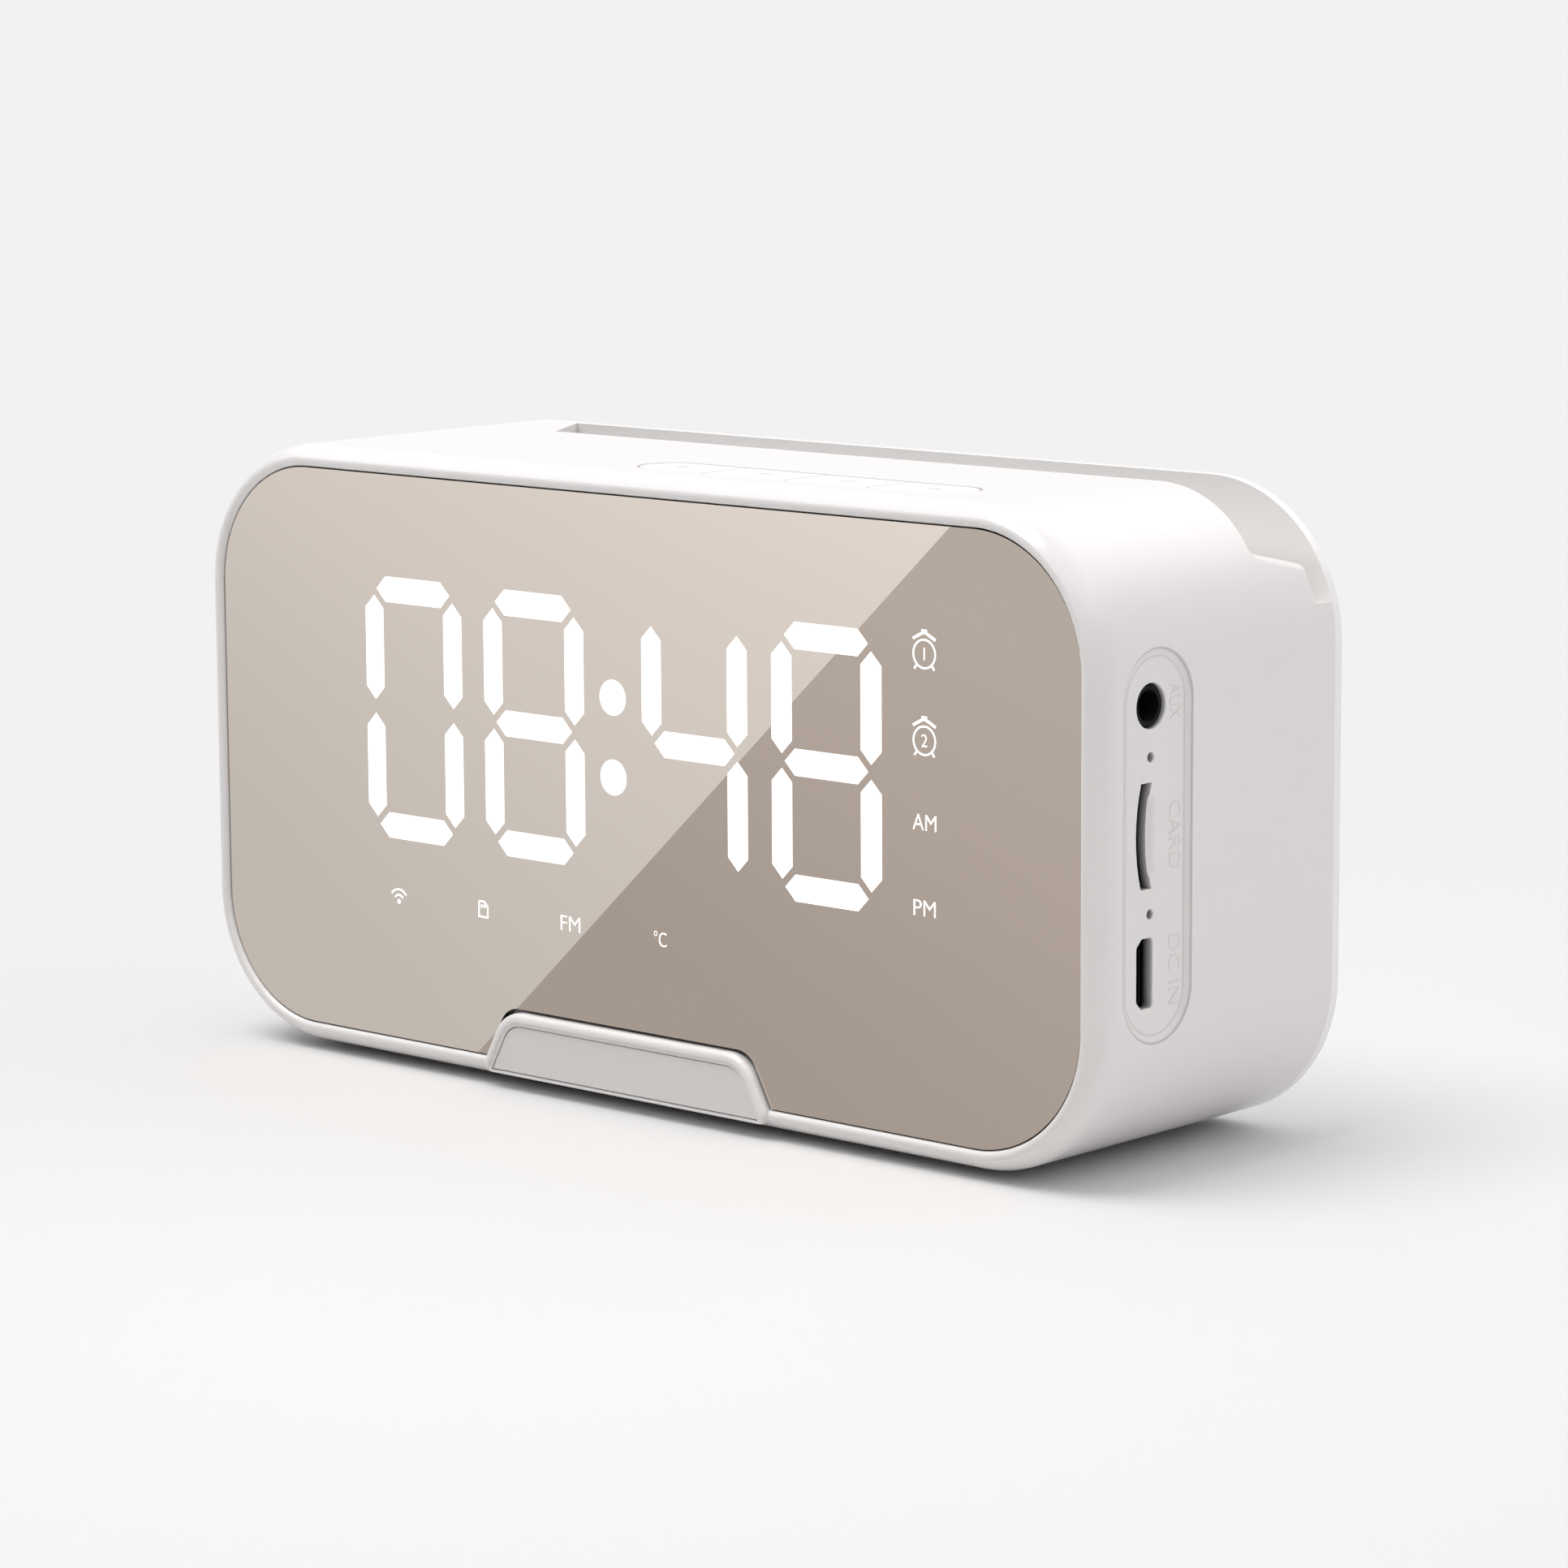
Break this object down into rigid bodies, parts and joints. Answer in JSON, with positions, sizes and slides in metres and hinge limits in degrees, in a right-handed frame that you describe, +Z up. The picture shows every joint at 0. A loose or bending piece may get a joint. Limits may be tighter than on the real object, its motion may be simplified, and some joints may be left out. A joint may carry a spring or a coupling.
{
  "type": "alarm clock speaker",
  "caption": "Mirror-faced digital alarm clock with a loudspeaker: rounded upright case, top keys, side sockets and a slot along the top rear edge that holds a phone.",
  "frame": {"origin": "centre of the footprint on the table, at the underside of the rubber feet", "axes": "+X to the right seen from the front, +Y from the mirror face to the rear cover, +Z up"},
  "size_m": [0.145, 0.045, 0.0765],
  "materials": {
    "housing_white": "gloss moulded",
    "key_white": "satin moulded",
    "mirror_tint": "warm tinted half mirror",
    "tape_black": "matte",
    "inlay_grey": "satin",
    "board_green": "solder mask",
    "switch_black": "matte",
    "reflector_black": "matte",
    "diffuser_milky": "translucent",
    "led_cream": "gloss",
    "socket_black": "matte",
    "socket_steel": "stamped",
    "capsule_silver": "drawn",
    "foam_grey": "closed-cell foam",
    "cell_foil": "foil",
    "basket_black": "satin black",
    "magnet_grey": "plated",
    "surround_rubber": "satin",
    "cone_black": "pressed paper",
    "screw_steel": "zinc plated",
    "foot_rubber": "matte"
  },
  "bodies": {
    "body": {"main_housing": "housing_white", "rear_cover": "housing_white", "mirror_lens": "mirror_tint", "lens_tape": "tape_black", "inlay_plate": "inlay_grey", "key_board": "board_green", "tact_switches": "switch_black", "display_reflector": "reflector_black", "segment_diffusers": "diffuser_milky", "segment_leds": "led_cream", "main_board": "board_green", "audio_jack": "socket_black", "card_socket": "socket_steel", "usb_inlet": "socket_steel", "microphone": "capsule_silver", "charge_led": "led_cream", "battery_pad": "foam_grey", "battery_cell": "cell_foil", "radio_module": "board_green", "speaker_gasket_left": "foam_grey", "speaker_gasket_right": "foam_grey", "speaker_frame_left": "basket_black", "speaker_frame_right": "basket_black", "speaker_motor_left": "magnet_grey", "speaker_motor_right": "magnet_grey", "speaker_surround_left": "surround_rubber", "speaker_surround_right": "surround_rubber", "cover_screws": "screw_steel", "board_screws": "screw_steel", "key_board_screws": "screw_steel", "speaker_screws": "screw_steel", "foot_front_left": "foot_rubber", "foot_front_right": "foot_rubber", "foot_rear_left": "foot_rubber", "foot_rear_right": "foot_rubber"},
    "key_mode": {"key_mode": "key_white"},
    "key_previous": {"key_previous": "key_white"},
    "key_play": {"key_play": "key_white"},
    "key_next": {"key_next": "key_white"},
    "speaker_cone_left": {"speaker_cone_left": "cone_black"},
    "speaker_cone_right": {"speaker_cone_right": "cone_black"}
  },
  "joints": [
    {"name": "key_mode_press", "type": "slide", "parent": "body", "child": "key_mode", "axis": [0, 0, -1], "range_m": [0, 0.0005], "stiffness_N_per_m": 1500, "springref_m": -0.0003},
    {"name": "key_previous_press", "type": "slide", "parent": "body", "child": "key_previous", "axis": [0, 0, -1], "range_m": [0, 0.0005], "stiffness_N_per_m": 1500, "springref_m": -0.0003},
    {"name": "key_play_press", "type": "slide", "parent": "body", "child": "key_play", "axis": [0, 0, -1], "range_m": [0, 0.0005], "stiffness_N_per_m": 1500, "springref_m": -0.0003},
    {"name": "key_next_press", "type": "slide", "parent": "body", "child": "key_next", "axis": [0, 0, -1], "range_m": [0, 0.0005], "stiffness_N_per_m": 1500, "springref_m": -0.0003},
    {"name": "speaker_cone_left_stroke", "type": "slide", "parent": "body", "child": "speaker_cone_left", "axis": [0, 1, 0], "range_m": [-0.0008, 0.0008], "stiffness_N_per_m": 1200, "deforming": ["speaker_surround_left"]},
    {"name": "speaker_cone_right_stroke", "type": "slide", "parent": "body", "child": "speaker_cone_right", "axis": [0, 1, 0], "range_m": [-0.0008, 0.0008], "stiffness_N_per_m": 1200, "deforming": ["speaker_surround_right"]}
  ]
}
